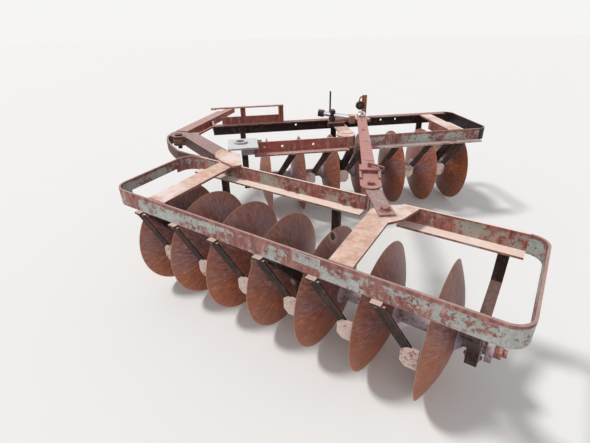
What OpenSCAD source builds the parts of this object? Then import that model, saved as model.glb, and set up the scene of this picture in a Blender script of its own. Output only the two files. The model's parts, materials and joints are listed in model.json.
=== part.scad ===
/* [Discs] */
// Diameter of each disc
disc_d = 610; // [580:1:620]
// Thickness of the disc steel
disc_t = 6; // [4:1:8]
// Depth of the dish from rim to centre
dish_depth = 78; // [65:1:85]
// Diameter of the flat centre of each disc
disc_flat_d = 124; // [116:1:140]
// Discs on each gang
disc_count = 7; // [7:1:7]
// Spacing of the discs along the axle
disc_pitch = 263; // [260:1:270]

/* [Gang axles] */
// Side of the square axle
axle_side = 32; // [28:1:36]
// Clearance between the axle and what it carries, on each side
axle_gap = 0.4; // [0.2:0.1:0.8]
// Diameter of the spool tube, which is also the bearing journal
spool_d = 62; // [58:1:70]
// Diameter of the flared spool ends
bell_d = 112; // [100:1:116]
// Length of the flare at the domed side of a disc
bell_l = 32; // [24:1:32]
// Thickness of the flat flange of a spool end
bell_flange = 7; // [5:1:10]
// Height and width of the axle nuts
nut_d = 62; // [56:1:66]
nut_h = 28; // [22:1:32]

/* [Bearings and hangers] */
// Outer diameter of a bearing housing
housing_d = 136; // [124:1:140]
// Width of a bearing housing along the axle
housing_w = 54; // [48:1:54]
// Running clearance between journal and housing, on the radius
bearing_gap = 0.08; // [0.05:0.01:0.1]
// Rear gang: distance from a disc rim to the bearing centre, on its domed side
rear_bearing_x = 146; // [145:1:149]
// Front gang: distance from a disc rim to the bearing centre, on its domed side
front_bearing_x = 187; // [184:1:190]
// Width of a hanger along the axle
hanger_w = 45; // [40:1:50]
// Thickness of the hanger straps
hanger_t = 22; // [18:1:26]

/* [Gang frames] */
// Distance from the axle line to the inner face of each long beam
beam_y = 293; // [285:1:300]
// Height of the beams
beam_h = 88; // [80:1:92]
// Width of the flange of the beams, with the web
beam_flange = 70; // [60:1:75]
// Thickness of the frame steel
steel_t = 10; // [8:1:12]
// Height of the underside of the beams above the ground
beam_z = 592; // [590:1:600]
// Thickness of the flat cross members
cross_t = 12; // [10:1:14]
// Width of the flat cross members
cross_w = 100; // [90:1:110]
// Outer radius of the bent frame corners
corner_r = 75; // [65:1:85]

/* [Layout] */
// Turn of the front gang from square to the travel
front_angle = 21.3; // [20:0.1:22]
// Turn of the rear gang from square to the travel
rear_angle = 21.3; // [20:0.1:22]
// Front gang: hinge pin to the first disc, along the gang
front_disc_x = 680; // [670:1:690]
// Front gang: hinge pin to the axle line, across the gang
front_axle_y = -25; // [-35:1:-15]
// Rear gang: hinge pin to the first disc, along the gang
rear_disc_x = 620; // [610:1:630]
// Rear gang: hinge pin to the axle line, across the gang
rear_axle_y = -580; // [-590:1:-570]
// Ends of the front frame, from the hinge pin
front_left = 250; // [244:1:256]
front_right = 2364; // [2350:1:2380]
// Ends of the rear frame, from the hinge pin; the left one is taken at its back corner
rear_left = 489; // [480:1:495]
rear_right = 2490; // [2475:1:2520]
// Lean of the rear frame's left end and of its cross members
end_lean = 7.5; // [6:0.1:9]
C1_lean = 6.9; // [5:0.1:8]
C2_lean = 4.6; // [3:0.1:6]
// Places of the rear frame's cross members at its back beam
C1_x = 848; // [840:1:856]
C2_x = 1876; // [1870:1:1882]

/* [Hinge] */
// Diameter of the hinge pin
hinge_pin_d = 32; // [28:1:36]
// Running clearance of the pins, on the radius
pin_gap = 0.08; // [0.05:0.01:0.1]
// Width and height of the rear hinge arm
arm_w = 109; // [100:1:114]
arm_h = 76; // [70:1:78]
// Width and height of the front hinge arm
front_arm_w = 100; // [90:1:106]
front_arm_h = 60; // [56:1:64]
// Wall of the tubular arms
arm_wall = 8; // [6:1:10]
// Thickness of the hinge eye plates
eye_t = 20; // [16:1:24]
// Length of the front arm's tube and of the bar that sticks out of it
front_arm_l = 740; // [700:1:760]
drawbar_l = 200; // [150:1:210]

/* [Angle strap] */
// Width of the strap
strap_w = 74; // [70:1:80]
// Thickness of the strap
strap_t = 12; // [10:1:14]
// Place of the strap pivot on the front frame, from the hinge pin
strap_x = 1490; // [1485:1:1495]
strap_y = 122; // [118:1:126]
// Place of the strap holder's pivot on the rear frame, from the hinge pin
arm_pin_x = 1683; // [1678:1:1688]
arm_pin_y = -187; // [-192:1:-182]
// Diameter of the strap pivot bolt
strap_pin_d = 24; // [20:1:28]
// Length of the strap ahead of its pivot
strap_nose = 58; // [45:1:62]
// Clearance over and under the strap
strap_gap = 1; // [0.6:0.1:1.5]
// Clearance at each side of the strap in its holder
strap_side_gap = 7; // [6:1:9]
// Length of the holder from its pivot to its far end
holder_l = 232; // [225:1:240]

/* [Scrapers] */
// Width and height of a scraper blade
blade_w = 66; // [60:1:72]
blade_h = 96; // [90:1:100]
// Thickness of a blade
blade_t = 8; // [6:1:10]
// Clearance between a blade and the rim plane of its disc
blade_gap = 7; // [6:1:10]
// Distance of the blades behind the axle
blade_y = 268; // [262:1:275]
// Height of the middle of a blade
blade_z = 361; // [350:1:370]

/* [Hidden] */
$fn = 48;

disc_r = disc_d / 2;
axle_z = disc_r;
sphere_r = (disc_r * disc_r + dish_depth * dish_depth) / (2 * dish_depth);
// Height of the flat centre above the rim plane
flat_x = round(sqrt(sphere_r * sphere_r - disc_flat_d * disc_flat_d / 4) - (sphere_r - dish_depth));
gang_l = (disc_count - 1) * disc_pitch;
beam_top = beam_z + beam_h;
// Outer washers of a gang and the thread that shows past its nuts
washer_t = 26;
thread_l = 17;
beam_out = beam_y + steel_t;
// Discs after which a bearing sits, counted from the end with the bare dish
BEARING_AFTER = [1, 4, 7];
// Room between a bearing housing and the washer outside it
tail_gap = 12;
// Heights of the parts stacked at the strap
pad_t = 12;
holder_t = 10;
holder_z = beam_top + pad_t;
strap_z = holder_z + holder_t + strap_gap;
bridge_z = strap_z + strap_t + strap_gap;

// Middle of the whole harrow on the ground, from the hinge pin
centre_x = 1103.782;
centre_y = -304.721;

module place_all() { translate([-centre_x, -centre_y, 0]) children(); }
module in_front() { place_all() rotate([0, 0, front_angle]) children(); }
module in_rear() { place_all() rotate([0, 0, -rear_angle]) children(); }
// Gang space: x along the axle, disc domes point to +x, the origin is on the first disc
module front_gang_space() {
    in_front() translate([front_disc_x + gang_l, front_axle_y, axle_z]) mirror([1, 0, 0]) children();
}
module rear_gang_space() { in_rear() translate([rear_disc_x, rear_axle_y, axle_z]) children(); }

module along_x() { rotate([0, 90, 0]) children(); }

// Dished disc: a shell cut from a ball, flat in the middle, with its axis along x
module disc() {
    difference() {
        along_x() difference() {
            intersection() {
                translate([0, 0, dish_depth - sphere_r]) sphere(r = sphere_r, $fn = 120);
                cylinder(h = flat_x, r = disc_d);
            }
            intersection() {
                translate([0, 0, dish_depth - sphere_r]) sphere(r = sphere_r - disc_t, $fn = 120);
                translate([0, 0, -1]) cylinder(h = flat_x - disc_t + 1, r = disc_d);
            }
        }
        square_hole(-1, flat_x + 1);
    }
}

module square_hole(x0, x1) {
    side = axle_side + 2 * axle_gap;
    translate([x0, -side / 2, -side / 2]) cube([x1 - x0, side, side]);
}

module spool() {
    len = disc_pitch - disc_t;
    difference() {
        rotate([90, 0, 90]) rotate_extrude($fn = 64) polygon([[0, 0], [bell_d / 2, 0],
            [bell_d / 2, bell_flange], [spool_d / 2, bell_l], [spool_d / 2, len - bell_l],
            [bell_d / 2 - 6, len - bell_flange], [bell_d / 2 - 6, len], [0, len]]);
        square_hole(-1, len + 1);
    }
}

module gang_discs() { for (k = [0 : disc_count - 1]) translate([k * disc_pitch, 0, 0]) disc(); }
module gang_spools(bearing_x) {
    for (k = [0 : disc_count - 2]) translate([k * disc_pitch + flat_x, 0, 0]) spool();
    translate([gang_l + flat_x, 0, 0]) end_spool(tail_l(bearing_x));
    // end washers: inside the bare dish and outside the last bearing
    translate([flat_x - disc_t - washer_t, 0, 0]) end_washer();
    translate([gang_l + flat_x + tail_l(bearing_x), 0, 0]) end_washer();
}
function tail_l(bearing_x) = bearing_x + housing_w / 2 + tail_gap - flat_x;
module end_spool(len) {
    difference() {
        rotate([90, 0, 90]) rotate_extrude($fn = 64) polygon([[0, 0], [bell_d / 2, 0],
            [bell_d / 2, bell_flange], [spool_d / 2, bell_l], [spool_d / 2, len], [0, len]]);
        square_hole(-1, len + 1);
    }
}
module end_washer() {
    difference() {
        along_x() cylinder(h = washer_t, d = bell_d);
        square_hole(-1, washer_t + 1);
    }
}
// Square axle with a nut and a threaded end beyond the outer washers
module gang_axle(bearing_x) {
    x0 = flat_x - disc_t - washer_t;
    x1 = gang_l + flat_x + tail_l(bearing_x) + washer_t;
    translate([x0, -axle_side / 2, -axle_side / 2]) cube([x1 - x0, axle_side, axle_side]);
    for (x = [x0 - nut_h, x1]) translate([x, 0, 0]) along_x() cylinder(h = nut_h, d = nut_d, $fn = 6);
    for (x = [x0 - nut_h - thread_l, x1 + nut_h])
        translate([x, 0, 0]) along_x() cylinder(h = thread_l, d = axle_side);
}
module gang_bearings(bearing_x) {
    for (k = BEARING_AFTER) translate([(k - 1) * disc_pitch + bearing_x - housing_w / 2, 0, 0])
        difference() {
            along_x() cylinder(h = housing_w, d = housing_d);
            translate([-1, 0, 0]) along_x() cylinder(h = housing_w + 2, d = spool_d + 2 * bearing_gap);
        }
}
// Hanger: a ring round the housing on two legs; rise is how far the legs reach up the beam webs
module gang_hangers(bearing_x, rise) {
    ring_d = housing_d + 2 * hanger_t;
    top = beam_z - axle_z;
    y1 = beam_y - 10;
    y0 = beam_y - 32;
    for (k = BEARING_AFTER) translate([(k - 1) * disc_pitch + bearing_x - hanger_w / 2, 0, 0])
        rotate([90, 0, 90]) linear_extrude(hanger_w) difference() {
            union() {
                circle(d = ring_d, $fn = 64);
                polygon([[y0, top], [y1, top], [y1, top - 165], [ring_d / 2 - 12, 10],
                    [ring_d / 2 - 45, 45], [y0, top - 150]]);
                polygon([[-beam_out, top], [-y0, top], [-y0, top - 20], [-ring_d / 2 + 45, 55],
                    [-ring_d / 2 + 12, 20], [-y1, top - 42], [-y1, top - 10], [-beam_out, top - 10]]);
                if (rise > 0) translate([y0, top]) square([beam_y - y0, rise]);
            }
            circle(d = housing_d, $fn = 64);
        }
}
// Scrapers hang from the rear beam and reach into the open side of discs 2 to the last
module scraper_arm() {
    foot_x = -163;
    end_x = -blade_gap - blade_w * 0.55;
    z0 = beam_z - axle_z;
    z1 = blade_z - axle_z + 20;
    translate([foot_x - 25, -beam_y - 35, z0 - steel_t]) cube([43, 50, steel_t]);
    hull() {
        translate([foot_x - 18, -beam_y - 18, z0 - steel_t - 12]) cube([36, steel_t, 12]);
        translate([end_x - 18, -blade_y - blade_t / 2 - steel_t, z1]) cube([36, steel_t, 14]);
    }
}
module scraper_blade() {
    c = 22;
    x0 = -blade_gap - blade_w;
    z0 = blade_z - axle_z - blade_h / 2;
    translate([0, -blade_y + blade_t / 2, 0]) rotate([90, 0, 0]) linear_extrude(blade_t)
        polygon([[x0 + c, z0], [-blade_gap, z0], [-blade_gap, z0 + blade_h], [x0 + c, z0 + blade_h],
            [x0, z0 + blade_h - c], [x0, z0 + c]]);
}
module gang_scraper_arms() { for (k = [1 : disc_count - 1]) translate([k * disc_pitch, 0, 0]) scraper_arm(); }
module gang_scraper_blades() {
    for (k = [1 : disc_count - 1]) translate([k * disc_pitch, 0, 0]) scraper_blade();
}

// Quarter bend of a bar on edge; sx and sy say which quarter, the origin is the bend's centre
module bend(sx, sy) {
    r = corner_r;
    linear_extrude(beam_h) difference() {
        intersection() {
            circle(r = r, $fn = 64);
            translate([sx > 0 ? 0 : -r, sy > 0 ? 0 : -r]) square(r);
        }
        circle(r = r - steel_t, $fn = 64);
    }
}
// End of a frame: a bar on edge, bent round both corners; side -1 is the left end
module bent_end(x, side) {
    y = beam_out - corner_r;
    flat_bar(side > 0 ? x - steel_t : x, side > 0 ? x : x + steel_t, -y, y, beam_z, beam_h);
    for (s = [-1, 1]) translate([x - side * corner_r, s * y, beam_z]) bend(side, s);
}
// Bar on edge along a list of points in plan, mitred at its bends
function run_dir(p, i) = (p[i + 1] - p[i]) / norm(p[i + 1] - p[i]);
function side_of(d) = [-d[1], d[0]];
function mitre(p, i, t) = let(last = len(p) - 1, u = run_dir(p, max(i - 1, 0)),
    v = run_dir(p, min(i, last - 1))) side_of(u + v) * t / (1 + u * v) / 2;
module bent_bar(p, t, h) {
    last = len(p) - 1;
    linear_extrude(h) polygon(concat([for (i = [0 : last]) p[i] + mitre(p, i, t)],
        [for (i = [0 : last]) p[last - i] - mitre(p, last - i, t)]));
}
function arc_points(c, r, a0, a1) = [for (i = [0 : 8]) c + r * [cos(a0 + (a1 - a0) * i / 8),
    sin(a0 + (a1 - a0) * i / 8)]];
// Angle section along x: a web on edge and a level flange
module angle_beam(x0, x1, web_y, flange_y, flange_z) {
    flat_bar(x0, x1, web_y, web_y + steel_t, beam_z, beam_h);
    flat_bar(x0, x1, flange_y, flange_y + beam_flange, flange_z, steel_t);
}
// Flat bar lying level
module flat_bar(x0, x1, y0, y1, z, t) { translate([x0, y0, z]) cube([x1 - x0, y1 - y0, t]); }

module on_front() { in_front() translate([0, front_axle_y, 0]) children(); }
module on_rear() { in_rear() translate([0, rear_axle_y, 0]) children(); }

// Bolt holes left open in the webs of the front frame
hole_d = 18;
hole_z = 642;
module front_beam() {
    color("#9a6a5c") on_front() difference() {
        angle_beam(front_left, front_right - corner_r, beam_y, beam_out - beam_flange, beam_top - steel_t);
        for (x = [953, 1716, 1850]) web_hole(x, beam_y, hole_z);
    }
}
module web_hole(x, y, z) { translate([x, y - 1, z]) rotate([-90, 0, 0]) cylinder(h = steel_t + 2, d = hole_d); }
module front_back_beam_left() {
    color("#a2584a") on_front() difference() {
        angle_beam(d_left_x, d_gap_x0 - corner_r, -beam_out, -beam_y - beam_flange, beam_z);
        for (x = [637, 766, 994]) web_hole(x, -beam_out, hole_z);
    }
}
module front_back_beam_right() {
    color("#a9a59a") on_front() angle_beam(d_gap_x1, front_right - corner_r, -beam_out,
        -beam_y - beam_flange, beam_z);
}
module front_end_bar() { color("#9a6a5c") on_front() bent_end(front_right, 1); }
// The rear long beam of the front frame is split; its left half turns forward at the gap
d_left_x = 561;
d_gap_x0 = 1327;
d_gap_x1 = 1344;
// Centre member, an angle bent from the left half of the back beam, and the flat cross bar
module front_cross_members() {
    x = 2100;
    color("#c9b0a4") on_front() {
        centre_member();
        flat_bar(x - cross_w / 2, x + cross_w / 2, -beam_y, beam_out - beam_flange,
            beam_top - cross_t, cross_t);
        flat_bar(x - cross_w / 2, x - cross_w / 2 + steel_t, -beam_y, 50, beam_top - 78, 78 - cross_t);
    }
}
module centre_member() {
    y0 = -beam_out + corner_r;
    y1 = beam_out - beam_flange;
    w = 105;
    flat_bar(d_gap_x0 - steel_t, d_gap_x0, y0, y1, beam_z, beam_h);
    translate([d_gap_x0 - corner_r, y0, beam_z]) bend(1, -1);
    flat_bar(d_gap_x0 - w, d_gap_x0 - steel_t, y0, y1, beam_top - steel_t, steel_t);
    flat_bar(d_gap_x0 - w, d_gap_x0 - corner_r, -beam_y, y0, beam_top - steel_t, steel_t);
    translate([d_gap_x0 - corner_r, y0, beam_top - steel_t])
        cylinder(h = steel_t, r = corner_r - steel_t, $fn = 64);
}
arm_z = beam_top - arm_h;
eye_z = arm_z + 30;
eye_d = 90;
eye_gap = 5;
// Front arm: its near end from the hinge pin, and its lean to the right
front_arm_x = -38;
front_arm_y = 125;
front_arm_lean = 3.25;
front_arm_z = beam_top - front_arm_h;
drawbar_w = 70;
drawbar_pin_d = 26;
module in_front_arm() {
    place_all() translate([front_arm_x, front_arm_y, front_arm_z]) rotate([0, 0, -front_arm_lean])
        translate([-front_arm_w / 2, 0, 0]) children();
}
module front_arm() {
    w = front_arm_w - 2 * arm_wall;
    h = front_arm_h - 2 * arm_wall;
    color("#a5776a") in_front_arm() {
        difference() {
            cube([front_arm_w, front_arm_l, front_arm_h]);
            translate([arm_wall, -1, arm_wall]) cube([w, front_arm_l - 100, h]);
        }
        translate([(front_arm_w - drawbar_w) / 2, front_arm_l, arm_wall]) difference() {
            cube([drawbar_w, drawbar_l, h]);
            translate([drawbar_w / 2, drawbar_l - 35, -1]) cylinder(h = h + 2, d = drawbar_pin_d);
        }
    }
    // eye plate for the hinge pin, and the rod from its lug to the bracket on the front beam
    color("#a5776a") place_all() {
        translate([0, 0, eye_z]) linear_extrude(eye_t) difference() {
            union() {
                circle(d = eye_d);
                polygon([[-40, 0], [45, 0], [92, 150], [92, 190], [5, 190], [-50, 150]]);
            }
            circle(d = hinge_pin_d + 2 * pin_gap);
        }
        translate([80, 170, eye_z + eye_t / 2]) rotate([-90, 0, -4]) cylinder(h = 270, d = eye_t - 2);
    }
    // bracket from the left end of the front beam to the arm
    color("#a5776a") in_front() translate([0, 0, beam_z]) linear_extrude(72)
        polygon([[252, front_axle_y + beam_out], [268, front_axle_y + beam_out], [242, 490], [226, 490]]);
}
module front_hangers() { color("#6e4d44") front_gang_space() gang_hangers(front_bearing_x, 60); }
module front_bearings() { color("#7d6f78") front_gang_space() gang_bearings(front_bearing_x); }
module front_scraper_arms() { color("#6a5a58") front_gang_space() gang_scraper_arms(); }
module front_scraper_blades() { color("#c9b5aa") front_gang_space() gang_scraper_blades(); }
// Guard over the left of the front beam: a bar on edge, two angle posts and a level top rail
guard_t = 8;
guard_low_h = 58;
guard_z = 810;
guard_x0 = 330;
guard_x1 = 849;
post_w = 42;
module guard_rail() {
    top_w = 34;
    y = front_axle_y + beam_out;
    color("#8f6a5e") in_front() {
        flat_bar(guard_x0, guard_x1 - post_w, y - guard_t, y, beam_top, guard_low_h);
        flat_bar(guard_x0 - 80, guard_x1, y - top_w, y, guard_z, guard_t);
        guard_post(488, beam_top + guard_low_h, y);
        guard_post(guard_x1 - post_w, beam_top, y);
    }
}
module guard_post(x, z0, y) {
    flat_bar(x, x + post_w, y - guard_t, y, z0, guard_z - z0);
    flat_bar(x, x + guard_t, y - 30, y - guard_t, z0, guard_z - z0);
}
// Round bar that pushes on the strap's bracket: near end, far end and diameter
RAM_0 = [1180, 175, 745];
RAM_1 = [1402, 84, 718];
ram_d = 38;
module in_ram() {
    v = RAM_1 - RAM_0;
    in_front() translate(RAM_0) rotate([0, acos(v[2] / norm(v)), atan2(v[1], v[0])]) children();
}
bracket_h = strap_z - strap_gap - beam_top;
module pivot_bracket() {
    x0 = strap_x - 58;
    x1 = strap_x + 62;
    color("#a5877c") difference() {
        in_front() {
            flat_bar(x0, x1, strap_y - 56, strap_y + 153, beam_top, bracket_h);
            // side bar that ties it to the centre member, and the lug that holds the ram's end
            flat_bar(1266, x0, 114, 164, beam_top, bracket_h);
            flat_bar(x0 - 62, x0 - 20, strap_y - 78, strap_y - 8, beam_top, 62);
        }
        in_front() translate([strap_x, strap_y, beam_top - 1]) cylinder(h = bracket_h + 2, d = strap_pin_d);
        in_ram() translate([0, 0, -1]) cylinder(h = norm(RAM_1 - RAM_0) + 2, d = ram_d);
    }
}
module strap_pivot_bolt() {
    color("#8c7a76") in_front() translate([strap_x, strap_y, 0]) {
        translate([0, 0, beam_top]) cylinder(h = bridge_z - beam_top, d = strap_pin_d);
        translate([0, 0, bridge_z]) cylinder(h = 15, d = 40, $fn = 6);
    }
}
// Upright plate with a round boss at its left, on the strap's bracket
module hitch_lug() {
    y = strap_y + 121;
    color("#b8734c") in_front() {
        flat_bar(1529, 1569, y, y + 14, beam_top + bracket_h, 163);
        translate([1512, y - 8, 780]) rotate([-90, 0, 0]) cylinder(h = 30, d = 66);
        flat_bar(1532, 1552, y - 20, y, beam_top + bracket_h, 45);
    }
}
module screw_block() {
    color("#b08a7c") {
        difference() {
            in_front() flat_bar(1226, 1266, 125, 190, beam_top, 96);
            in_ram() translate([0, 0, -1]) cylinder(h = 160, d = ram_d);
        }
        in_ram() translate([0, 0, -48]) cylinder(h = 48, d = 58);
        // bar that lies across the centre member
        in_front() flat_bar(1172, 1308, -26, 4, beam_top, 30);
    }
}
module hitch_screw() {
    color("#b9bcc0") in_ram() cylinder(h = norm(RAM_1 - RAM_0), d = ram_d);
}
module hand_rod() {
    color("#5c4038") in_front() translate([1248, 245, beam_top]) cylinder(h = 229, d = 14);
}
// Plate with a ring, held clear above the rear frame's arm, which passes under it
ring_x = 470;
ring_y = -420;
ring_d = 88;
ring_bore_d = 60;
plate_t = 12;
plate_gap = 6;
module end_plate() {
    z = beam_top + pad_t + plate_gap;
    beam_line = front_axle_y - beam_y;
    color("#cfc8c4") in_front() {
        difference() {
            union() {
                flat_bar(ring_x - 86, ring_x + 115, ring_y - 125, ring_y + 105, z, plate_t);
                translate([ring_x, ring_y, z + plate_t]) cylinder(h = 14, d = ring_d);
            }
            translate([ring_x, ring_y, z - 1]) cylinder(h = plate_t + 16, d = ring_bore_d);
        }
        // web under the plate, in line with the beam, that the end hanger stands on
        flat_bar(d_left_x - 92, d_left_x, beam_line - steel_t, beam_line, beam_z, z - beam_z);
        flat_bar(d_left_x, d_left_x + 59, beam_line - steel_t, beam_line, beam_top, z - beam_top);
    }
}
module front_axle() { color("#6b5d5a") front_gang_space() gang_axle(front_bearing_x); }
module front_discs() { color("#a8694a") front_gang_space() gang_discs(); }
module front_spools() { color("#a79aa6") front_gang_space() gang_spools(front_bearing_x); }

// The front long beam of the rear frame is split where the angle arm passes
b_gap_x0 = 1702;
b_gap_x1 = 1891;
// Left end of the rear frame: its centre line leans, and turns into both long beams
web_y = beam_y + steel_t / 2;
back_bend_r = 100;
front_bend_r = 85;
bend_lead = 20;
lean_dir = [-sin(end_lean), cos(end_lean)];
back_bend = [rear_left + back_bend_r * cos(end_lean), back_bend_r - web_y];
back_end = back_bend - back_bend_r * [cos(end_lean), sin(end_lean)];
front_end_y = web_y - front_bend_r * (1 + sin(end_lean));
front_end = back_end + lean_dir * (front_end_y - back_end[1]) / cos(end_lean);
front_bend = front_end + front_bend_r * [cos(end_lean), sin(end_lean)];
back_beam_x0 = back_bend[0] + bend_lead;
front_beam_x0 = front_bend[0] + bend_lead;
end_bar_h = 62;
module rear_back_beam() {
    color("#a9a59a") on_rear() angle_beam(back_beam_x0, rear_right - corner_r, -beam_out,
        -beam_out, beam_z);
}
module rear_front_beam_left() {
    color("#9a6a5c") on_rear() angle_beam(front_beam_x0, b_gap_x0, beam_y,
        beam_out - beam_flange, beam_z);
}
module rear_front_beam_right() {
    color("#9a6a5c") on_rear() angle_beam(b_gap_x1, rear_right - corner_r, beam_y,
        beam_out - beam_flange, beam_z);
}
module rear_left_end() {
    joint_0 = back_end + lean_dir * bend_lead;
    joint_1 = front_end - lean_dir * bend_lead;
    color("#a9a59a") on_rear() {
        translate([0, 0, beam_z]) {
            bent_bar(concat([[back_beam_x0, -web_y]], arc_points(back_bend, back_bend_r, 270, 180 + end_lean),
                [joint_0]), steel_t, beam_h);
            bent_bar(concat([joint_1], arc_points(front_bend, front_bend_r, 180 + end_lean, 90),
                [[front_beam_x0, web_y]]), steel_t, beam_h);
        }
        translate([0, 0, beam_top - end_bar_h]) bent_bar([joint_0, joint_1], steel_t, end_bar_h);
    }
}
module rear_right_end() { color("#a9a59a") on_rear() bent_end(rear_right, 1); }
C1_w = 118;
C2_w = 98;
C2_y1 = 90;
C2_w1 = 110;
module rear_cross_members() {
    color("#c4a294") on_rear() translate([0, 0, beam_top - cross_t]) linear_extrude(cross_t) {
        polygon([[C1_x - C1_w / 2, -beam_y], [C1_x + C1_w / 2, -beam_y],
            [leaning(C1_x, C1_lean, beam_y) + C1_w / 2, beam_y],
            [leaning(C1_x, C1_lean, beam_y) - C1_w / 2, beam_y]]);
        polygon([[C2_x - C2_w / 2, -beam_y], [C2_x + C2_w / 2, -beam_y], [C2_right, C2_y1],
            [C2_right - C2_w1, C2_y1]]);
    }
}
function leaning(x, lean, y) = x - tan(lean) * (y + beam_y);
C2_right = leaning(C2_x, C2_lean, C2_y1) + C2_w1 / 2;
// Gussets: one from the rear arm over the left cross bar, one at the front end of the right one
module corner_gussets() {
    color("#d9b3a6") on_rear() {
        translate([0, 0, beam_top]) linear_extrude(pad_t)
            polygon([[575, 465], [750, 447], [888, 303], [888, 289], [864, 254], [740, 285], [640, 330],
                [581, 398]]);
        translate([0, 0, beam_top - cross_t]) linear_extrude(cross_t)
            polygon([[C2_right - C2_w1, C2_y1], [C2_right, C2_y1], [C2_right + 42, C2_y1 + 60],
                [C2_x + 96, beam_y], [b_gap_x1, beam_y], [1822, 245], [C2_right - C2_w1 - 8, C2_y1 + 80]]);
    }
}
// Rear arm: a tube that runs from near the hinge pin to the front beam of the rear frame
arm_turn = 21.3;
ARM_0 = [120, 39];
arm_back = 40;
arm_side = side_of([cos(arm_turn), -sin(arm_turn)]) * arm_w / 2;
arm_start = ARM_0 - arm_back * [cos(arm_turn), -sin(arm_turn)];
beam_face = rear_axle_y + beam_out;
function on_arm(p, x) = [x, p[1] - (x - p[0]) * tan(arm_turn)];
function arm_at_beam(p) = [p[0] + (p[1] - beam_face) / tan(arm_turn), beam_face];
module rear_arm() {
    near_l = arm_start + arm_side;
    near_r = arm_start - arm_side;
    outline = [near_r, near_l, on_arm(near_l, 740), arm_at_beam(near_r) + [50, 0], arm_at_beam(near_r)];
    color("#b08a7c") in_rear() {
        translate([0, 0, arm_z]) difference() {
            linear_extrude(arm_h) polygon(outline);
            translate([0, 0, arm_wall]) linear_extrude(arm_h - 2 * arm_wall) polygon([
                near_r + arm_side * 0.15 - [1, 0], near_l - arm_side * 0.15 - [1, 0],
                on_arm(near_l - arm_side * 0.15, 720), on_arm(near_r + arm_side * 0.15, 720)]);
        }
        fork_plate(eye_z - eye_gap - eye_t) polygon([[0, 45], [0, -45], near_r, near_r + [60, -10],
            near_l + [40, -10], near_l]);
        // the upper plate also reaches the brace, left of the pin
        fork_plate(eye_z + eye_t + eye_gap) polygon([inner_of(0), inner_of(1), inner_of(2), near_r,
            near_r + [60, -10], near_l + [40, -10], near_l, [-66, 91]]);
    }
}
module fork_plate(z) {
    translate([0, 0, z]) linear_extrude(eye_t) difference() {
        union() {
            circle(d = eye_d);
            children();
        }
        circle(d = hinge_pin_d);
    }
}
module hinge_pin() {
    color("#7a6a66") place_all() {
        translate([0, 0, beam_z - 12]) cylinder(h = beam_h + 20, d = hinge_pin_d);
        translate([0, 0, eye_z + 2 * eye_t + 5]) cylinder(h = 12, d = 54);
    }
}
// Bent plate from the hinge to the front corner of the rear frame
brace_t = 12;
BRACE = [[-112, 78], [-100, 20], [-60, -50], [0, -108], [81, -159], [188, -214], [300, -262],
    [420, beam_face + brace_t / 2], [600, beam_face + brace_t / 2]];
function inner_of(i) = BRACE[i] + mitre(BRACE, i, brace_t);
// Short box between the brace and the frame's corner
BOX = [[296, -186], [420, -250], [470, beam_face + brace_t], [380, -238], [290, -204]];
module corner_brace() {
    color("#9c8f88") in_rear() {
        translate([0, 0, arm_z]) bent_bar(BRACE, brace_t, arm_h);
    }
}
module angle_arm() {
    bolt = [1851, -405];
    d = [arm_pin_x, arm_pin_y] - bolt;
    w = 74;
    color("#d0bfb6") in_rear() translate([bolt[0], bolt[1], 0]) rotate([0, 0, atan2(d[1], d[0])]) {
        difference() {
            translate([-45, -w / 2, beam_top]) cube([norm(d) + 85, w, pad_t]);
            translate([norm(d), 0, beam_top - 1]) cylinder(h = pad_t + 2, d = strap_pin_d);
        }
        translate([150, -w / 2, beam_z + 4]) cube([norm(d) - 150 + 40, 8, beam_h - 4]);
        translate([150, w / 2 - 8, beam_z + 4]) cube([norm(d) - 150 + 40, 8, beam_h - 4]);
    }
}
// Bolt that the strap holder turns on
module holder_bolt() {
    color("#8c7a76") in_rear() translate([arm_pin_x, arm_pin_y, 0]) {
        translate([0, 0, beam_top - 12]) cylinder(h = holder_z + holder_t - beam_top + 13, d = strap_pin_d);
        translate([0, 0, holder_z + holder_t + 1]) cylinder(h = 15, d = 40, $fn = 6);
    }
}
module rear_hangers() { color("#6e4d44") rear_gang_space() gang_hangers(rear_bearing_x, 0); }
module rear_bearings() { color("#7d6f78") rear_gang_space() gang_bearings(rear_bearing_x); }
module rear_scraper_arms() { color("#6a5a58") rear_gang_space() gang_scraper_arms(); }
module rear_scraper_blades() { color("#c9b5aa") rear_gang_space() gang_scraper_blades(); }
module rear_axle() { color("#6b5d5a") rear_gang_space() gang_axle(rear_bearing_x); }
module rear_discs() { color("#a8694a") rear_gang_space() gang_discs(); }
module rear_spools() { color("#a79aa6") rear_gang_space() gang_spools(rear_bearing_x); }

// Strap: from its pivot on the front frame to the pin on the rear arm
strap_from = [strap_x * cos(front_angle) - strap_y * sin(front_angle),
    strap_x * sin(front_angle) + strap_y * cos(front_angle)];
strap_to = [arm_pin_x * cos(rear_angle) + arm_pin_y * sin(rear_angle),
    -arm_pin_x * sin(rear_angle) + arm_pin_y * cos(rear_angle)];
strap_dir = strap_to - strap_from;
strap_l = norm(strap_dir);
module in_strap() {
    place_all() translate([strap_from[0], strap_from[1], strap_z])
        rotate([0, 0, atan2(strap_dir[1], strap_dir[0])]) children();
}
module angle_strap() {
    // the strap ends before the bolt of its holder, which it slides towards as the gangs close
    end_x = strap_l - 160;
    color("#d8b4aa") in_strap() difference() {
        union() {
            translate([-strap_nose, -strap_w / 2, 0]) cube([end_x + strap_nose, strap_w, strap_t]);
        }
        translate([0, 0, -1]) cylinder(h = strap_t + 2, d = strap_pin_d + 2 * pin_gap);
        for (x = [70, 130, 420]) translate([x, 0, -1]) cylinder(h = strap_t + 2, d = 22);
        translate([strap_l - 190, 0, -1]) cylinder(h = strap_t + 2, d = 22);
    }
}
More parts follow.
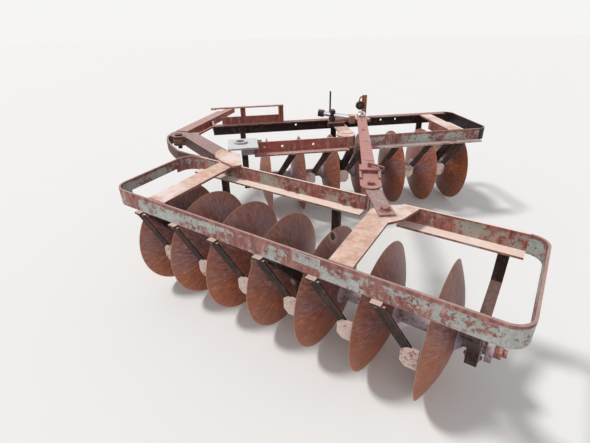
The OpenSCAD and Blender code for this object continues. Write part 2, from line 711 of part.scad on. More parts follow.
// Holder: turns on the rear arm and carries the end of the strap between two rails and a bridge
module in_holder() { in_strap() translate([strap_l, 0, 0]) mirror([1, 0, 0]) children(); }
module strap_holder() {
    w = strap_w + 2 * strap_side_gap + 2 * holder_t;
    z0 = holder_z - strap_z;
    rail_h = holder_t + 2 * strap_gap + strap_t;
    color("#cfa89c") in_holder() {
        difference() {
            union() {
                translate([0, -w / 2, z0 + 0.5]) cube([holder_l, w, holder_t - 0.5]);
                translate([0, 0, z0 + 0.5]) cylinder(h = holder_t - 0.5, d = w);
            }
            translate([0, 0, z0 - 1]) cylinder(h = holder_t + 2, d = strap_pin_d + 2 * pin_gap);
        }
        for (s = [-1, 1]) translate([60, s * (w / 2 - holder_t / 2) - holder_t / 2, z0 + holder_t])
            cube([holder_l - 60, holder_t, rail_h - holder_t]);
        translate([150, -w / 2, z0 + rail_h]) cube([holder_l - 150, w, holder_t]);
    }
}
// Locking pin, shown drawn up clear of the strap
module locking_pin() {
    color("#7a4a40") in_holder() translate([190, 0, bridge_z - strap_z + holder_t]) {
        cylinder(h = 26, d = 20);
        translate([0, 0, 20]) rotate([0, 90, 130]) cylinder(h = 95, d = 12);
    }
}

front_beam();
front_back_beam_left();
front_back_beam_right();
front_end_bar();
front_cross_members();
front_arm();
front_hangers();
front_bearings();
front_scraper_arms();
front_scraper_blades();
guard_rail();
pivot_bracket();
strap_pivot_bolt();
hitch_lug();
hitch_screw();
screw_block();
hand_rod();
end_plate();
front_axle();
front_discs();
front_spools();
rear_back_beam();
rear_front_beam_left();
rear_front_beam_right();
rear_left_end();
rear_right_end();
rear_cross_members();
corner_gussets();
rear_arm();
corner_brace();
hinge_pin();
angle_arm();
holder_bolt();
rear_hangers();
rear_bearings();
rear_scraper_arms();
rear_scraper_blades();
rear_axle();
rear_discs();
rear_spools();
angle_strap();
strap_holder();
locking_pin();
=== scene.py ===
import json
import math
import random

import bmesh
import bpy
from mathutils import Matrix, Vector


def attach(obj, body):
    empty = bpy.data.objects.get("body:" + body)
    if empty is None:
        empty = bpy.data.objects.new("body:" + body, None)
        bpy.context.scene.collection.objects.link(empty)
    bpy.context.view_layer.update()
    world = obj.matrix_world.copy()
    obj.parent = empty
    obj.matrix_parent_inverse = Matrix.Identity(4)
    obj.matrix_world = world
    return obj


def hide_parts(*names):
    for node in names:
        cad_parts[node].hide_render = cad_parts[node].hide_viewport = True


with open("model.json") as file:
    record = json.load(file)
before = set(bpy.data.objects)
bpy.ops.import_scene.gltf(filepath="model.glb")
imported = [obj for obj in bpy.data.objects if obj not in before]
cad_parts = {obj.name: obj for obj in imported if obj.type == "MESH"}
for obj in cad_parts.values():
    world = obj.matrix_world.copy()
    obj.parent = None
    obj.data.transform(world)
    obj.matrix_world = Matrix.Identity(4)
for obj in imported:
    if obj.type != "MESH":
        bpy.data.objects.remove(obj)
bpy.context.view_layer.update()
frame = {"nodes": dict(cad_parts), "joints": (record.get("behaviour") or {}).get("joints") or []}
nodes = frame["nodes"]
joints = {joint["name"]: joint for joint in frame["joints"]}
print("frame loaded:", len(nodes), "nodes")


# Two spaces in millimetres for each gang: its frame's, from the hinge pin with x along the axle, and the
# gang's own, from the middle of an end disc with the discs bulging towards +x
discPitch = 263
discRadius = 305
discCount = 7
gangLength = (discCount - 1) * discPitch
hingePin = Vector(joints["gang_angle"]["pos_m"])
hingePin.z = 0
gangs = {
    "front": dict(joint="front_gang_spin", endDisc=(680 + gangLength, -25), bulge=-1, bearingX=187),
    "rear": dict(joint="rear_gang_spin", endDisc=(620, -580), bulge=1, bearingX=146),
}
for gang in gangs.values():
    spin = joints[gang["joint"]]
    gang["centre"] = spin["pos_m"]
    gang["turn"] = math.atan2(spin["axis"][1], spin["axis"][0])
    turned = Matrix.Rotation(gang["turn"], 4, "Z") @ Matrix.Scale(0.001, 4)
    gang["frameSpace"] = Matrix.Translation(hingePin) @ turned
    endDisc = Matrix.Translation((*gang["endDisc"], discRadius))
    gang["space"] = gang["frameSpace"] @ endDisc @ Matrix.Scale(gang["bulge"], 4, (1, 0, 0))


# Materials: each is a list of rows, one row a node, with its name, kind, settings and links
def linearColour(hexColour):
    parts = [int(hexColour[i:i + 2], 16) / 255 for i in (1, 3, 5)]
    return [(p / 12.92 if p <= 0.04045 else ((p + 0.055) / 1.055) ** 2.4) for p in parts] + [1]


def addNode(tree, made, name, kind, settings, links):
    # settings: numbers and capitals are sockets, stops are a ramp's colours, the rest the node's fields
    # links: socket, then the earlier row that goes into it, as "row" or "row.output"
    node = tree.nodes.new("ShaderNode" + kind)
    node.label = name
    for key, value in settings.items():
        if key == "stops":
            elements = node.color_ramp.elements
            while len(elements) < len(value):
                elements.new(0.5)
            for element, (position, hexColour) in zip(elements, value):
                element.position = position
                element.color = linearColour(hexColour)
        elif isinstance(key, int) or key[0].isupper():
            node.inputs[key].default_value = linearColour(value) if str(value)[0] == "#" else value
        else:
            setattr(node, key, value)
    for key, source in links.items():
        row, dot, output = source.partition(".")
        outputs = made[row].outputs
        plug = outputs[output] if dot else next(socket for socket in outputs if socket.enabled)
        tree.links.new(plug, node.inputs[key])
    made[name] = node


def fillTree(tree, rows):
    tree.nodes.clear()
    made = {}
    for row in rows:
        addNode(tree, made, *row)


def makeMaterial(name, rows, layers, relief, shader):
    # layers of (mask row, colour) cover the coat in turn, relief is (height row, depth in mm) in turn
    rows = list(rows)
    for mask, hexColour in layers:
        rows.append(("coat", "Mix", {"data_type": "RGBA", 7: hexColour}, {0: mask, 6: "coat"}))
    below = {}
    for height, depthMm in relief:
        depth = {"Strength": 1, "Distance": depthMm / 1000}
        rows.append(("relief", "Bump", depth, {"Height": height, **below}))
        below = {"Normal": "relief"}
    plugged = {"Base Color": "coat", "Roughness": "roughness", **below}
    rows.append(("surface", "BsdfPrincipled", shader, plugged))
    rows.append(("output", "OutputMaterial", {}, {"Surface": "surface"}))
    material = bpy.data.materials.new(name)
    material.use_nodes = True
    fillTree(material.node_tree, rows)
    return material


# Weathered steel, hot-rolled bar and plate that was brush-painted and then stood outside for decades.
# The eye sees a coat that breaks into patches over rust and goes first along the edges. It is lighter where
# it looks up, partly bleaching and partly painted sunlight, and painted near black where it looks down, as
# shade.
# Mill scale grains are 1 to 3 mm and brush marks under 1 mm, too fine for this view, so specks and fine
# relief are drawn 9 to 40 mm wide. A noise's scale is 1000 over the width of its features in mm.
# the underside colour is painted shade, laid on faces that look down
weatherLook = dict(stainMm=26, fineMm=9, grease="#2b1c19", edgeAmount=0.7, limeAmount=0.6, mottle=0.45,
                   wornDepthMm=0.6, speckDepthMm=1.2, fineDepthMm=0.5)


def weatheredSteel(name, look):
    mottle = look.get("mottle", weatherLook["mottle"])
    rows = [
        ("place", "TexCoord", {}, {}),
        ("face", "NewGeometry", {}, {}),
        ("facing", "SeparateXYZ", {}, {0: "face.Normal"}),
        ("runs", "Mapping", {"Scale": (1, 1, 0.3)}, {"Vector": "place.Object"}),  # rain draws stains down
        ("patches", "TexNoise", {"Scale": 1000 / look["patchMm"], "Detail": 6, "Roughness": 0.62},
         {"Vector": "place.Object"}),
        ("specks", "TexNoise", {"Scale": 1000 / look["speckMm"], "Detail": 4, "Roughness": 0.7},
         {"Vector": "place.Object"}),
        ("stains", "TexNoise", {"Scale": 1000 / weatherLook["stainMm"], "Detail": 4, "Roughness": 0.65},
         {"Vector": "runs"}),
        ("fine", "TexNoise", {"Scale": 1000 / weatherLook["fineMm"], "Detail": 4, "Roughness": 0.7},
         {"Vector": "place.Object"}),
        ("rust", "ValToRGB", {"stops": look["rust"]}, {0: "stains"}),
        ("paint", "ValToRGB", {"stops": look["paint"]}, {0: "specks"}),
        # specks average 0.5, so 0.7 of them adds 0.35 to the level at which the coat is gone
        ("broken", "Math", {"operation": "MULTIPLY_ADD", 1: 0.7}, {0: "specks", 2: "patches"}),
        ("worn", "MapRange", {1: look["bare"] + 0.32, 2: look["bare"] + 0.39}, {0: "broken"}),
    ]
    if "band" in look:  # water stands along the top edge, so that strip lost its paint above this height
        rows += [
            ("height", "SeparateXYZ", {}, {0: "place.Object"}),
            ("ragged", "Math", {"operation": "MULTIPLY_ADD", 1: 0.05}, {0: "patches", 2: "height.Z"}),
            ("strip", "MapRange", {1: look["band"] + 0.022, 2: look["band"] + 0.028}, {0: "ragged"}),
            ("worn", "Math", {"operation": "MAXIMUM"}, {0: "worn", 1: "strip"}),
        ]
    rows += [
        ("rounded", "Bevel", {"samples": 4, "Radius": look["edgeMm"] / 1000}, {}),
        ("bend", "VectorMath", {"operation": "DOT_PRODUCT"}, {0: "rounded", 1: "face.Normal"}),
        ("nearEdge", "MapRange", {1: 0.995, 2: 0.88}, {0: "bend.Value"}),
        ("rubbed", "MapRange", {1: 0.25, 2: 0.55, 4: weatherLook["edgeAmount"]}, {0: "specks"}),
        ("edges", "Math", {"operation": "MULTIPLY"}, {0: "nearEdge", 1: "rubbed"}),
        ("upward", "MapRange", {1: 0.6, 2: 0.95}, {0: "facing.Z"}),
        # painted sunlight mixed with real bleaching: faces that look up take the lighter top colours
        ("bleached", "MapRange", {1: 0.6, 2: 0.95, 4: look["bleach"]}, {0: "facing.Z"}),
        ("grains", "Math", {"operation": "MULTIPLY_ADD", 1: 0.5}, {0: "patches", 2: "specks"}),
        ("mottled", "MapRange", {1: 0.45, 2: 0.85, 4: mottle}, {0: "grains"}),
        ("spots", "Math", {"operation": "MULTIPLY"}, {0: "upward", 1: "mottled"}),
        # painted shade: faces that look down go near black
        ("downward", "MapRange", {1: -0.4, 2: -0.9, 4: 0.8}, {0: "facing.Z"}),
        ("coat", "Mix", {"data_type": "RGBA"}, {0: "worn", 6: "paint", 7: "rust"}),
        ("roughness", "Math", {"operation": "MULTIPLY_ADD", 1: 0.18, 2: look["roughness"]}, {0: "worn"}),
    ]
    layers = [("edges", look["edge"]), ("bleached", look["top"]), ("spots", look["topSpots"])]
    if "limed" in look:  # puddles dried on it in broad pale patches
        rows += [
            ("dried", "MapRange", {1: 0.48, 2: 0.6, 4: weatherLook["limeAmount"]}, {0: "patches"}),
            ("limed", "Math", {"operation": "MULTIPLY"}, {0: "upward", 1: "dried"}),
        ]
        layers.append(("limed", look["limed"]))
    layers.append(("downward", weatherLook["grease"]))
    relief = [("worn", weatherLook["wornDepthMm"]), ("specks", weatherLook["speckDepthMm"]),
              ("fine", weatherLook["fineDepthMm"])]
    return makeMaterial(name, rows, layers, relief, {"Specular IOR Level": 0.25})


redRust = [(0.3, "#5e3630"), (0.46, "#85504a"), (0.58, "#9a655c"), (0.74, "#b28a80")]
# near-black colours: partly dark paint and rust, partly painted shade
blackPaintAndShade = [(0.35, "#1d1211"), (0.75, "#33221f")]
blackRustAndShade = [(0.3, "#2a1b19"), (0.55, "#43302b"), (0.75, "#5f4640")]
looks = {
    # red enamel, brushed on: dull brick red, thin and stained, pink-grey on top, partly bleached and partly
    # painted sunlight
    "fadedRedPaint": dict(patchMm=260, speckMm=34, bare=0.5, bleach=0.55, roughness=0.55, edgeMm=5,
                          paint=[(0.35, "#83413a"), (0.55, "#9a544b"), (0.75, "#ad7267")], rust=redRust,
                          edge="#c79a8c", top="#b08a82", topSpots="#d8bfb5"),
    # the same enamel, painted nearly black as the shade under the top flange, pink on its top edge
    "greasyBlackPaint": dict(patchMm=200, speckMm=30, bare=0.62, bleach=0.75, roughness=0.5, edgeMm=5,
                             paint=[(0.35, "#1f1314"), (0.55, "#2a1a1b"), (0.75, "#3a2524")],
                             rust=[(0.3, "#3a2422"), (0.6, "#5a3a35"), (0.75, "#74504a")],
                             edge="#8d5f58", top="#8f5f59", topSpots="#b88f86"),
    # grey-green enamel gone to chalk: matt pale islands with ragged shores on rust, top strip bare
    "chalkyGreyPaint": dict(patchMm=170, speckMm=20, bare=0.5, bleach=0.5, roughness=0.6, edgeMm=6,
                            band=0.662, paint=[(0.33, "#8f918c"), (0.5, "#a5a8a2"), (0.72, "#bdbebb")],
                            rust=[(0.3, "#63403a"), (0.46, "#835550"), (0.58, "#956a62"), (0.74, "#b09088")],
                            edge="#a2766e", top="#a08079", topSpots="#c4aea4"),
    # grey-green enamel under a thin red coat: khaki patches in red-brown, the flange cream, partly bleached
    # and partly painted sunlight
    "twoCoatPaint": dict(patchMm=130, speckMm=30, bare=0.47, bleach=0.9, roughness=0.6, edgeMm=5, band=0.667,
                         paint=[(0.35, "#8b8478"), (0.55, "#9c9589"), (0.75, "#b0aa9e")], rust=redRust,
                         edge="#b98e82", top="#f4e2d6", topSpots="#dcb9a8"),
    # bare hot-rolled plate, flame-cut and walked on: dry tan and cream rust, broad lime-white patches
    "dryRustPlate": dict(patchMm=240, speckMm=40, bare=0.5, bleach=0.75, mottle=0.65, roughness=0.65,
                         edgeMm=4, paint=[(0.35, "#8a5d50"), (0.75, "#a77a6c")], rust=redRust,
                         edge="#cfb0a5", top="#b98571", topSpots="#efd5c4", limed="#e8dcda"),
    # flat bar, rolled and drilled: even salmon-pink rust with darker smears and light edges
    "pinkStrap": dict(patchMm=150, speckMm=26, bare=0.5, bleach=0.7, roughness=0.6, edgeMm=4,
                      paint=[(0.35, "#7d4741"), (0.75, "#99635b")], rust=redRust,
                      edge="#d6b2a8", top="#ad726c", topSpots="#d4aca4"),
    # rolled box tube, rubbed by hands and boots: smooth grey-pink on top with dark mottles, near-black brown
    # sides that are painted shade
    "greyPinkTube": dict(patchMm=140, speckMm=26, bare=0.5, bleach=0.8, roughness=0.55, edgeMm=6,
                         paint=[(0.35, "#4a3330"), (0.75, "#6b4c47")],
                         rust=[(0.3, "#3a2724"), (0.55, "#5c3f3a"), (0.75, "#7d5a53")],
                         edge="#c9ada3", top="#bb9c97", topSpots="#7d6662"),
    # flame-cut plate with lime dried on it: almost white and chalk-matt
    "limedPlate": dict(patchMm=120, speckMm=18, bare=0.62, bleach=0.85, roughness=0.7, edgeMm=4,
                       paint=[(0.35, "#8d8a88"), (0.75, "#b5b1ae")], rust=redRust,
                       edge="#d8d4d0", top="#c6c4c4", topSpots="#e4e2e0"),
    # hammered bar under dust: pink-grey with dark pits
    "dustyForging": dict(patchMm=70, speckMm=20, bare=0.5, bleach=0.75, mottle=0.7, roughness=0.65, edgeMm=5,
                         paint=[(0.35, "#8b6d68"), (0.75, "#b39a95")], rust=redRust,
                         edge="#d9c6c0", top="#c6b1ad", topSpots="#8a6d67"),
    # forged and welded parts under the beams: almost black brown, partly dark rust and partly painted shade;
    # rusty grey where they look up
    "darkRust": dict(patchMm=90, speckMm=18, bare=0.5, bleach=0.45, roughness=0.6, edgeMm=3,
                     paint=blackPaintAndShade, rust=blackRustAndShade, edge="#8c6f66", top="#6e544d", topSpots="#92766c"),
    # the same bar twisted for the scrapers: sides painted black as shade, feet pale pink, partly bleached and
    # partly painted sunlight, edges pale pink
    "bleachedBar": dict(patchMm=90, speckMm=18, bare=0.5, bleach=0.85, roughness=0.6, edgeMm=3,
                        paint=blackPaintAndShade, rust=blackRustAndShade, edge="#a58a80", top="#c7a698", topSpots="#dfc9bd"),
    # bolts and pins, forged and turned, never painted: orange-brown all over
    "boltRust": dict(patchMm=40, speckMm=12, bare=0.5, bleach=0.5, roughness=0.6, edgeMm=2,
                     paint=[(0.35, "#6a3c32"), (0.75, "#8d5a4c")], rust=redRust,
                     edge="#b98a7a", top="#a9786a", topSpots="#c49c8e"),
    # thick plate rubbed by chains: fresh orange rust with a pale top
    "orangeRust": dict(patchMm=60, speckMm=16, bare=0.5, bleach=0.6, roughness=0.6, edgeMm=4,
                       paint=[(0.35, "#8a4c30"), (0.75, "#b0714c")],
                       rust=[(0.3, "#6b3a2a"), (0.75, "#c08a66")],
                       edge="#d9bca4", top="#dcc2ae", topSpots="#ead8c8"),
    # pressed scraper blades, soil-polished and then dulled: pale pink-grey with brown specks
    "rubbedBlade": dict(patchMm=60, speckMm=12, bare=0.6, bleach=0.4, roughness=0.45, edgeMm=3,
                        paint=[(0.35, "#b79f95"), (0.75, "#d3bdb1")],
                        rust=[(0.3, "#7a5a4d"), (0.75, "#a3806f")],
                        edge="#dccbc1", top="#cfbab0", topSpots="#b4978a"),
    # grey iron, sand-cast: lavender-grey skin with a brown bloom
    "castIron": dict(patchMm=120, speckMm=14, bare=0.55, bleach=0.4, roughness=0.6, edgeMm=4,
                     paint=[(0.35, "#8a7a80"), (0.55, "#a89aa2"), (0.75, "#c2b6bb")],
                     rust=[(0.3, "#5c423b"), (0.75, "#8d6d62")],
                     edge="#b8a6a6", top="#b7a6ab", topSpots="#cbbcbe"),
}
materials = {name: weatheredSteel(name, look) for name, look in looks.items()}


# Disc steel, high-carbon sheet pressed to a dish and soil-polished, now rusted: the eye sees orange and
# purple-grey clouds with streaks that run out from the axle. The soil's scratches are under 1 mm wide,
# so the streaks are drawn 9 mm wide at the rim.
discLook = dict(streakMm=9, speckMm=16, rimMm=4, cloud=2.6, ring="#a5623c", ringAmount=0.4, pits="#4a2c22",
                pitAmount=0.45, rim="#b48a76", gone="#160d0b", streakDepthMm=0.25, speckDepthMm=0.5,
                brown=[(0.26, "#6b3524"), (0.44, "#8d4c33"), (0.58, "#a15e40"), (0.76, "#c48e6d")],
                purple=[(0.26, "#5f4344"), (0.44, "#7d5c5d"), (0.58, "#8f6d6e"), (0.76, "#b09497")])
# the upper half turns purple-grey, partly from sun-bleaching and partly as painted sky sheen; this number
# says how far
# tornHole: where one disc's rim is torn, in metres from the first disc's middle
discsOf = {
    "frontDiscSteel": dict(gang="front", sunned=0.2),
    "rearDiscSteel": dict(gang="rear", sunned=0.8, tornHole=(1.066, 0.003, 0.284)),
}


def discSteel(name, discs, look):
    gang = gangs[discs["gang"]]
    rimFrom, rimTo = (discRadius - look["rimMm"]) / 1000, (discRadius - 2) / 1000
    ontoAxle = {"vector_type": "TEXTURE", "Location": gang["centre"], "Rotation": (0, 0, gang["turn"])}
    rows = [
        ("place", "TexCoord", {}, {}),
        ("local", "Mapping", ontoAxle, {"Vector": "place.Object"}),
        ("parts", "SeparateXYZ", {}, {0: "local"}),
        ("across", "CombineXYZ", {}, {1: "parts.Y", 2: "parts.Z"}),
        ("radius", "VectorMath", {"operation": "LENGTH"}, {0: "across"}),
        ("around", "VectorMath", {"operation": "NORMALIZE"}, {0: "across"}),
        # each disc's number moves the noise along, so that no two discs are alike
        ("pitches", "Math", {"operation": "MULTIPLY_ADD", 1: 1000 / discPitch, 2: 100 / discPitch},
         {0: "parts.X"}),
        ("number", "Math", {"operation": "FLOOR"}, {0: "pitches"}),
        ("apart", "Math", {"operation": "MULTIPLY", 1: 7.3}, {0: "number"}),
        ("reach", "Math", {"operation": "MULTIPLY_ADD", 1: 1.4}, {0: "radius.Value", 2: "apart"}),
        ("outward", "CombineXYZ", {}, {0: "reach"}),
        ("ray", "VectorMath", {"operation": "ADD"}, {0: "around", 1: "outward"}),
        ("streaks", "TexNoise", {"Scale": discRadius / look["streakMm"] / 1.6, "Detail": 3, "Roughness": 0.6},
         {"Vector": "ray"}),
        ("broad", "TexNoise", {"Scale": look["cloud"], "Detail": 4, "Roughness": 0.55}, {"Vector": "ray"}),
        ("specks", "TexNoise", {"Scale": 1000 / look["speckMm"], "Detail": 4, "Roughness": 0.7},
         {"Vector": "place.Object"}),
        ("brown", "ValToRGB", {"stops": look["brown"]}, {0: "streaks"}),
        ("purple", "ValToRGB", {"stops": look["purple"]}, {0: "streaks"}),
        ("clouded", "Math", {"operation": "MULTIPLY_ADD", 1: 0.4}, {0: "specks", 2: "broad"}),
        # upper half purple-grey: partly sun-bleaching, partly painted sky sheen
        ("sunned", "Math", {"operation": "MULTIPLY_ADD", 1: discs["sunned"]}, {0: "parts.Z", 2: "clouded"}),
        ("faded", "MapRange", {1: 0.56, 2: 0.86}, {0: "sunned"}),
        ("coat", "Mix", {"data_type": "RGBA"}, {0: "faded", 6: "brown", 7: "purple"}),
        ("outer", "MapRange", {1: 0.19, 2: 0.3, 4: look["ringAmount"]}, {0: "radius.Value"}),
        ("pits", "MapRange", {1: 0.55, 2: 0.75, 4: look["pitAmount"]}, {0: "specks"}),
        # lighter rim ring: partly the polished edge, partly a painted highlight
        ("rim", "MapRange", {1: rimFrom, 2: rimTo}, {0: "radius.Value"}),
        ("roughness", "Math", {"operation": "MULTIPLY_ADD", 1: 0.25, 2: 0.35}, {0: "streaks"}),
    ]
    # the outer ring ran in the soil and is more orange
    layers = [("outer", look["ring"]), ("pits", look["pits"])]
    if "tornHole" in discs:
        rows += [
            ("away", "VectorMath", {"operation": "DISTANCE", 1: discs["tornHole"]}, {0: "local"}),
            ("torn", "Math", {"operation": "MULTIPLY_ADD", 1: 0.02}, {0: "specks", 2: "away.Value"}),
            ("lip", "MapRange", {1: 0.05, 2: 0.032}, {0: "torn"}),
            # painted shade: the torn-out hole is drawn near black
            ("gone", "MapRange", {1: 0.03, 2: 0.025}, {0: "torn"}),
        ]
        layers += [("lip", look["rim"]), ("gone", look["gone"])]
    layers.append(("rim", look["rim"]))
    relief = [("streaks", look["streakDepthMm"]), ("specks", look["speckDepthMm"])]
    return makeMaterial(name, rows, layers, relief, {"Metallic": 0.15})


for name, discs in discsOf.items():
    materials[name] = discSteel(name, discs, discLook)


# Ram rod, hard chrome plated and ground, gone dull outdoors: a bright mirror broken by faint scratches,
# which are under 0.1 mm wide and so are drawn 6 mm wide
chromeLook = dict(scratchMm=6, depthMm=0.1, colours=[(0.4, "#b9bcc0"), (0.65, "#d9dbdd")])


def dullChrome(look):
    rows = [
        ("place", "TexCoord", {}, {}),
        ("scratches", "TexNoise", {"Scale": 1000 / look["scratchMm"], "Detail": 4, "Roughness": 0.7},
         {"Vector": "place.Object"}),
        ("coat", "ValToRGB", {"stops": look["colours"]}, {0: "scratches"}),
        ("roughness", "Math", {"operation": "MULTIPLY_ADD", 1: 0.2, 2: 0.2}, {0: "scratches"}),
    ]
    return makeMaterial("dullChrome", rows, [], [("scratches", look["depthMm"])], {"Metallic": 0.9})


materials["dullChrome"] = dullChrome(chromeLook)
print("materials made:", len(materials))


# Which finish each CAD node wears
finishOf = {
    "fadedRedPaint": ["front_back_beam_left", "front_arm", "guard_rail"],
    "orangeRust": ["hitch_lug"],
    # front beam web and end bar: painted near black as shade
    "greasyBlackPaint": ["front_beam", "front_end_bar"],
    "twoCoatPaint": ["rear_front_beam_left", "rear_front_beam_right"],
    "chalkyGreyPaint": ["rear_back_beam", "rear_left_end", "rear_right_end", "front_back_beam_right"],
    "dryRustPlate": ["front_cross_members", "pivot_bracket", "rear_cross_members", "corner_gussets"],
    "pinkStrap": ["angle_strap", "strap_holder"],
    "greyPinkTube": ["rear_arm", "corner_brace"],
    "limedPlate": ["end_plate"],
    "dustyForging": ["angle_arm"],
    # near black: partly dark rust, partly painted shade under the beams
    "darkRust": ["front_hangers", "rear_hangers", "front_scraper_arms", "rear_scraper_arms", "hand_rod",
                 "hinge_pin", "screw_block"],
    "boltRust": ["strap_pivot_bolt", "holder_bolt", "locking_pin", "front_axle", "rear_axle"],
    "rubbedBlade": ["front_scraper_blades", "rear_scraper_blades"],
    "castIron": ["front_spools", "rear_spools", "front_bearings", "rear_bearings"],
    "dullChrome": ["hitch_screw"],
    "frontDiscSteel": ["front_discs"],
    "rearDiscSteel": ["rear_discs"],
}
for finish, names in finishOf.items():
    for name in names:
        mesh = nodes[name].data
        mesh.materials.clear()
        mesh.materials.append(materials[finish])
print("CAD nodes finished:", sum(len(names) for names in finishOf.values()))


# Tools for the small steel pieces, all in millimetres
def axisTurn(axis):
    return Vector(axis).to_track_quat("Z", "X").to_matrix().to_4x4()


def addCone(bm, place, axis, rise, segments, lowRadius, highRadius, height):
    # a frustum whose foot is "rise" along the axis from the place
    matrix = Matrix.Translation(place) @ axisTurn(axis) @ Matrix.Translation((0, 0, rise + height / 2))
    bmesh.ops.create_cone(bm, cap_ends=True, segments=segments, radius1=lowRadius, radius2=highRadius,
                          depth=height, matrix=matrix)


def addHexBolt(bm, place, axis, size):
    # washer, then a hexagon head with a chamfered crown
    radius = size * 0.9
    addCone(bm, place, axis, 0, 24, size * 1.12, size * 1.08, size * 0.16)
    addCone(bm, place, axis, size * 0.16, 6, radius, radius, size * 0.5)
    addCone(bm, place, axis, size * 0.66, 6, radius, radius * 0.8, size * 0.12)


def addCarriageBolt(bm, place, axis, size):
    # low domed head in three steps
    for rise, low, high in ((0, 1, 0.96), (0.16, 0.96, 0.75), (0.32, 0.75, 0.35)):
        addCone(bm, place, axis, size * rise, 20, size * low, size * high, size * 0.16)


def outline(xs, ys, zs):
    # four corners in turn; the height may differ at the two ends in x
    return [(xs[i], ys[j], zs[i]) for i, j in ((0, 0), (1, 0), (1, 1), (0, 1))]


def addPlate(bm, lowCorners, highCorners):
    # a six-sided plate from two outlines of four corners
    low = [bm.verts.new(corner) for corner in lowCorners]
    high = [bm.verts.new(corner) for corner in highCorners]
    bm.faces.new(low[::-1])
    bm.faces.new(high)
    for i in range(4):
        j = (i + 1) % 4
        bm.faces.new((low[i], low[j], high[j], high[i]))


def addTube(bm, points, radii, sides=8):
    rings = []
    for i, (point, radius) in enumerate(zip(points, radii)):
        turn = axisTurn(points[min(i + 1, len(points) - 1)] - points[max(i - 1, 0)])
        ring = []
        for j in range(sides):
            angle = j * math.tau / sides
            spoke = Vector((radius * math.cos(angle), radius * math.sin(angle), 0))
            ring.append(bm.verts.new(point + turn @ spoke))
        rings.append(ring)
    for first, second in zip(rings, rings[1:]):
        for j in range(sides):
            k = (j + 1) % sides
            bm.faces.new((first[j], first[k], second[k], second[j]))
    bm.faces.new(rings[0][::-1])
    bm.faces.new(rings[-1])


def addBead(bm, start, end, radius):
    # weld bead: a tube whose width ripples every 8 mm
    start, end = Vector(start), Vector(end)
    count = max(2, int((end - start).length / 4))
    radii = [radius * ((1.0 if i % 2 else 0.82) + random.uniform(-0.08, 0.08)) for i in range(count + 1)]
    radii[0] = radii[-1] = radius * 0.55
    addTube(bm, [start.lerp(end, i / count) for i in range(count + 1)], radii)


def addPiece(name, bm, space, finish, body, bevelMm=0):
    mesh = bpy.data.meshes.new(name)
    bmesh.ops.recalc_face_normals(bm, faces=bm.faces)
    bm.to_mesh(mesh)
    bm.free()
    mesh.transform(space)
    mesh.materials.append(materials[finish])
    piece = bpy.data.objects.new(name, mesh)
    bpy.context.scene.collection.objects.link(piece)
    if bevelMm:
        bevel = piece.modifiers.new("softEdges", "BEVEL")
        bevel.width, bevel.segments, bevel.limit_method = bevelMm / 1000, 2, "ANGLE"
    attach(piece, body)
    return piece


random.seed(7)

# Scraper bars: a bolted foot under the beam, then a flat bar that twists and ends behind its blade.
# All places are in mm from the disc that the blade cleans.
scraperLook = dict(footX=(-188, -145), footY=(-328, -278), footZ=(277, 287),
                   barTopX=(-192, -134), barTopY=(-318, -308),
                   barEndX=(-59, -21), barEndY=(-264, -254), barEndZ=(62, 78), bevel=1.5,
                   bladeBolt=(-42, -272, 84), bladeBoltSize=8.8,
                   footBoltX=-166, footBoltY=(-316, -290), footBoltSize=11)


def buildScrapers(gang, look):
    bars, footBolts, bladeBolts = bmesh.new(), bmesh.new(), bmesh.new()
    under, top = look["footZ"]
    for index in range(1, discCount):
        discX = index * discPitch
        footX, barTopX, barEndX = [[discX + x for x in look[key]] for key in ("footX", "barTopX", "barEndX")]
        addPlate(bars, outline(footX, look["footY"], (under, under)),
                 outline(footX, look["footY"], (top, top)))
        addPlate(bars, outline(barEndX, look["barEndY"], look["barEndZ"]),
                 outline(barTopX, look["barTopY"], (under, under)))
        addCarriageBolt(bladeBolts, Vector((discX, 0, 0)) + Vector(look["bladeBolt"]), (0, -1, 0),
                        look["bladeBoltSize"])
        for y in look["footBoltY"]:
            addHexBolt(footBolts, (discX + look["footBoltX"], y, under), (0, 0, -1), look["footBoltSize"])
    space, body = gangs[gang]["space"], gang + "_frame"
    # the bars' black sides are painted shade
    piece = addPiece(gang + "ScraperBars", bars, space, "bleachedBar", body, look["bevel"])
    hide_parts(gang + "_scraper_arms")
    addPiece(gang + "ScraperBolts", footBolts, space, "boltRust", body)
    addPiece(gang + "BladeBolts", bladeBolts, space, "rubbedBlade", body)


# Bearing housings: four cap bolts on each face
bearingLook = dict(afterDiscs=(0, 3, 6), boltCircle=50, boltSize=9, halfWidth=27)


def buildBearingBolts(gang, look):
    bolts = bmesh.new()
    for number in look["afterDiscs"]:
        centre = number * discPitch + gangs[gang]["bearingX"]
        for side in (-1, 1):
            for degrees in (45, 135, 225, 315):
                angle = math.radians(degrees)
                place = (centre + side * look["halfWidth"], look["boltCircle"] * math.cos(angle),
                         look["boltCircle"] * math.sin(angle))
                addHexBolt(bolts, place, (side, 0, 0), look["boltSize"])
    addPiece(gang + "BearingBolts", bolts, gangs[gang]["space"], "boltRust", gang + "_frame")


for gang in gangs:
    buildScrapers(gang, scraperLook)
    buildBearingBolts(gang, bearingLook)

# Frame bolts: places along the beam, across, height, which way the head points, thread size
frameBolts = {
    "front": [((482, 508, 1271, 1297, 2060, 2086), 258, 640, (0, -1, 0), 13),
              ((1271, 1297, 2060, 2086), -353, 602, (0, 0, 1), 13),
              ((262, 286), 262, 810, (0, 0, -1), 9)],
    "rear": [((870, 1228, 1287, 1580, 1639), -287, 625, (0, -1, 0), 17),
             ((752, 780, 1541, 1569, 2330, 2358), -848, 602, (0, 0, 1), 14),
             ((1851,), -405, 692, (0, 0, 1), 24),
             ((1905, 1950), -277, 640, (0, 1, 0), 14)],
}
